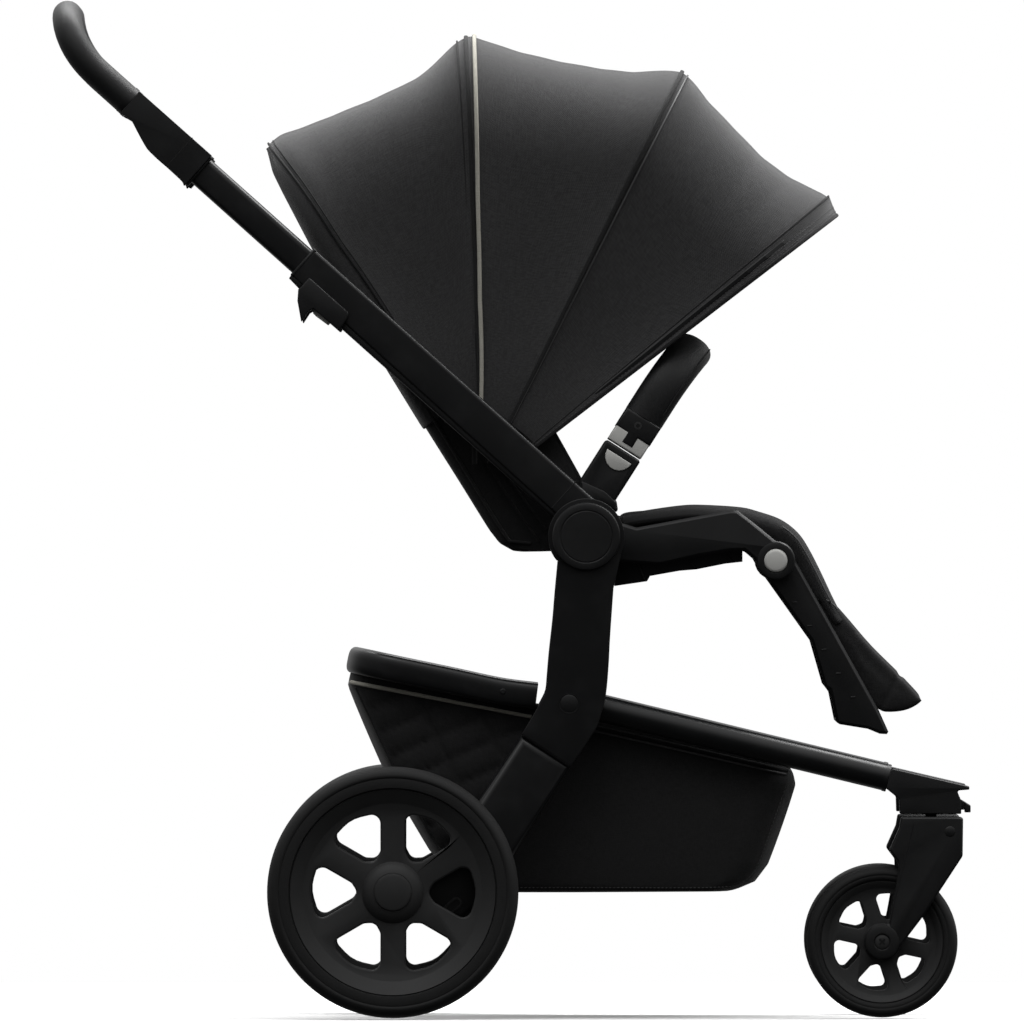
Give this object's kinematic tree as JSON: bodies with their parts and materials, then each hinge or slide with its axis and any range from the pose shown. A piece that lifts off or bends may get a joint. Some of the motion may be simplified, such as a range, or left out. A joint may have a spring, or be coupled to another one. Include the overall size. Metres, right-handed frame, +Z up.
{
  "type": "baby stroller",
  "caption": "Full-size folding baby stroller with a telescopic handle, reclining seat, folding canopy, leg rest, bumper bar, basket and swivelling front wheels.",
  "frame": {"origin": "on the floor, below the middle of the stroller's bounding box", "axes": "+Z up, +X forwards in the direction of travel, +Y to the stroller's left"},
  "size_m": [0.9643, 0.585, 1.0686],
  "materials": {
    "frame_black": "satin black powder coat",
    "plastic_black": "fine-grained black moulding",
    "plastic_grey": "smooth light grey moulding",
    "wheel_plastic": "matt dark grey moulding",
    "tyre_rubber": "matt foam-filled tyre",
    "axle_steel": "zinc-plated steel",
    "grip_leather": "black leatherette wrap, closed-cell foam inside",
    "seat_fabric": "black woven upholstery",
    "canopy_fabric": "charcoal linen-look weave",
    "basket_fabric": "black woven fabric, quilted at the rear"
  },
  "bodies": {
    "chassis": {"upright_left": "frame_black", "upright_right": "frame_black", "leg_tube_left": "frame_black", "leg_tube_right": "frame_black", "hub_cap_left": "plastic_black", "hub_cap_right": "plastic_black", "rear_axle": "axle_steel"},
    "front_frame": {"front_tube_left": "frame_black", "front_tube_right": "frame_black", "front_crossbar": "frame_black", "caster_bracket_left": "plastic_black", "caster_bracket_right": "plastic_black", "basket_rim": "frame_black", "basket": "basket_fabric"},
    "pushbar": {"pushbar_tube_left": "frame_black", "pushbar_tube_right": "frame_black"},
    "handle": {"handle_tube_left": "frame_black", "handle_tube_right": "frame_black", "handle_housing_left": "plastic_black", "handle_housing_right": "plastic_black", "handle_grip": "grip_leather"},
    "brake": {"brake_pedal": "plastic_black"},
    "seat": {"seat_frame": "plastic_black", "seat_cushion": "seat_fabric", "harness_buckle": "plastic_black", "bumper_socket_left": "plastic_black", "bumper_socket_right": "plastic_black"},
    "backrest": {"backrest_shell": "seat_fabric", "back_pad": "seat_fabric", "canopy_panel_rear": "canopy_fabric"},
    "canopy_rear": {"canopy_rear_hoop": "frame_black", "canopy_panel_middle": "canopy_fabric"},
    "canopy_middle": {"canopy_middle_hoop": "frame_black", "canopy_panel_front": "canopy_fabric"},
    "canopy_front": {"canopy_front_hoop": "frame_black"},
    "legrest": {"legrest_frame": "plastic_black", "calf_pad": "seat_fabric"},
    "bumper": {"bumper_bar": "grip_leather"},
    "rear_wheel_left": {"rear_tyre_left": "tyre_rubber", "rear_rim_left": "wheel_plastic", "rear_hub_cap_left": "wheel_plastic"},
    "caster_left": {"caster_fork_left": "plastic_black"},
    "front_wheel_left": {"front_tyre_left": "tyre_rubber", "front_rim_left": "wheel_plastic"},
    "swivel_lock_left": {"swivel_lock_left": "plastic_black"},
    "fold_trigger_left": {"fold_trigger_left": "plastic_black"},
    "height_button_left": {"height_button_left": "plastic_grey"},
    "legrest_button_left": {"legrest_button_left": "plastic_grey"},
    "bumper_button_left": {"bumper_button_left": "plastic_grey"},
    "rear_wheel_right": {"rear_tyre_right": "tyre_rubber", "rear_rim_right": "wheel_plastic", "rear_hub_cap_right": "wheel_plastic"},
    "caster_right": {"caster_fork_right": "plastic_black"},
    "front_wheel_right": {"front_tyre_right": "tyre_rubber", "front_rim_right": "wheel_plastic"},
    "swivel_lock_right": {"swivel_lock_right": "plastic_black"},
    "fold_trigger_right": {"fold_trigger_right": "plastic_black"},
    "height_button_right": {"height_button_right": "plastic_grey"},
    "legrest_button_right": {"legrest_button_right": "plastic_grey"},
    "bumper_button_right": {"bumper_button_right": "plastic_grey"}
  },
  "joints": [
    {"name": "pushbar_fold", "type": "hinge", "parent": "chassis", "child": "pushbar", "pos_m": [0.078, 0, 0.505], "axis": [0, 1, 0], "range_deg": [0, 165]},
    {"name": "front_fold", "type": "hinge", "parent": "chassis", "child": "front_frame", "pos_m": [0.06, 0, 0.33], "axis": [0, 1, 0], "range_deg": [0, 40]},
    {"name": "handle_height", "type": "slide", "parent": "pushbar", "child": "handle", "axis": [0.7455, 0, -0.6665], "range_m": [0, 0.13]},
    {"name": "brake_press", "type": "hinge", "parent": "chassis", "child": "brake", "pos_m": [-0.125, 0, 0.132], "axis": [0, -1, 0], "range_deg": [0, 18], "stiffness_Nm_per_rad": 2},
    {"name": "seat_lift_off", "type": "slide", "parent": "chassis", "child": "seat", "axis": [0, 0, 1], "range_m": [0, 0.06]},
    {"name": "backrest_recline", "type": "hinge", "parent": "seat", "child": "backrest", "pos_m": [0.078, 0, 0.505], "axis": [0, 1, 0], "range_deg": [-38, 0]},
    {"name": "legrest_tilt", "type": "hinge", "parent": "seat", "child": "legrest", "pos_m": [0.2772, 0, 0.4797], "axis": [0, 1, 0], "range_deg": [-60, 0]},
    {"name": "bumper_release", "type": "slide", "parent": "seat", "child": "bumper", "axis": [0.5373, 0, 0.8434], "range_m": [0, 0.045]},
    {"name": "canopy_fold", "type": "hinge", "parent": "backrest", "child": "canopy_rear", "pos_m": [-0.039, 0, 0.551], "axis": [0, -1, 0], "range_deg": [0, 24.5], "deforming": ["canopy_panel_rear"]},
    {"name": "canopy_middle_fold", "type": "hinge", "parent": "canopy_rear", "child": "canopy_middle", "pos_m": [-0.039, 0, 0.551], "axis": [0, -1, 0], "range_deg": [0, 22], "deforming": ["canopy_panel_middle"]},
    {"name": "canopy_front_fold", "type": "hinge", "parent": "canopy_middle", "child": "canopy_front", "pos_m": [-0.039, 0, 0.551], "axis": [0, -1, 0], "range_deg": [0, 19], "deforming": ["canopy_panel_front"]},
    {"name": "rear_wheel_spin_left", "type": "hinge", "parent": "chassis", "child": "rear_wheel_left", "pos_m": [-0.125, 0.27, 0.132], "axis": [0, 1, 0], "continuous": true},
    {"name": "caster_swivel_left", "type": "hinge", "parent": "front_frame", "child": "caster_left", "pos_m": [0.44, 0.202, 0.2139], "axis": [0, 0, 1], "continuous": true},
    {"name": "front_wheel_spin_left", "type": "hinge", "parent": "caster_left", "child": "front_wheel_left", "pos_m": [0.3885, 0.202, 0.0795], "axis": [0, 1, 0], "continuous": true},
    {"name": "swivel_lock_press_left", "type": "slide", "parent": "front_frame", "child": "swivel_lock_left", "axis": [0, 0, -1], "range_m": [0, 0.004]},
    {"name": "fold_trigger_pull_left", "type": "slide", "parent": "pushbar", "child": "fold_trigger_left", "axis": [-0.7455, 0, 0.6665], "range_m": [0, 0.012], "stiffness_N_per_m": 400},
    {"name": "height_button_press_left", "type": "slide", "parent": "handle", "child": "height_button_left", "axis": [0, 1, 0], "range_m": [0, 0.0025], "stiffness_N_per_m": 400},
    {"name": "legrest_button_press_left", "type": "slide", "parent": "seat", "child": "legrest_button_left", "axis": [0, -1, 0], "range_m": [0, 0.0035], "stiffness_N_per_m": 400},
    {"name": "bumper_button_press_left", "type": "slide", "parent": "seat", "child": "bumper_button_left", "axis": [0, -1, 0], "range_m": [0, 0.003], "stiffness_N_per_m": 400},
    {"name": "rear_wheel_spin_right", "type": "hinge", "parent": "chassis", "child": "rear_wheel_right", "pos_m": [-0.125, -0.27, 0.132], "axis": [0, 1, 0], "continuous": true},
    {"name": "caster_swivel_right", "type": "hinge", "parent": "front_frame", "child": "caster_right", "pos_m": [0.44, -0.202, 0.2139], "axis": [0, 0, 1], "continuous": true},
    {"name": "front_wheel_spin_right", "type": "hinge", "parent": "caster_right", "child": "front_wheel_right", "pos_m": [0.3885, -0.202, 0.0795], "axis": [0, 1, 0], "continuous": true},
    {"name": "swivel_lock_press_right", "type": "slide", "parent": "front_frame", "child": "swivel_lock_right", "axis": [0, 0, -1], "range_m": [0, 0.004]},
    {"name": "fold_trigger_pull_right", "type": "slide", "parent": "pushbar", "child": "fold_trigger_right", "axis": [-0.7455, 0, 0.6665], "range_m": [0, 0.012], "stiffness_N_per_m": 400},
    {"name": "height_button_press_right", "type": "slide", "parent": "handle", "child": "height_button_right", "axis": [0, -1, 0], "range_m": [0, 0.0025], "stiffness_N_per_m": 400},
    {"name": "legrest_button_press_right", "type": "slide", "parent": "seat", "child": "legrest_button_right", "axis": [0, 1, 0], "range_m": [0, 0.0035], "stiffness_N_per_m": 400},
    {"name": "bumper_button_press_right", "type": "slide", "parent": "seat", "child": "bumper_button_right", "axis": [0, 1, 0], "range_m": [0, 0.003], "stiffness_N_per_m": 400}
  ],
  "couplings": [
    {"joint": "front_fold", "follows": "pushbar_fold", "ratio": 0.2424},
    {"joint": "canopy_middle_fold", "follows": "canopy_fold", "ratio": 0.89},
    {"joint": "canopy_front_fold", "follows": "canopy_fold", "ratio": 0.767}
  ]
}
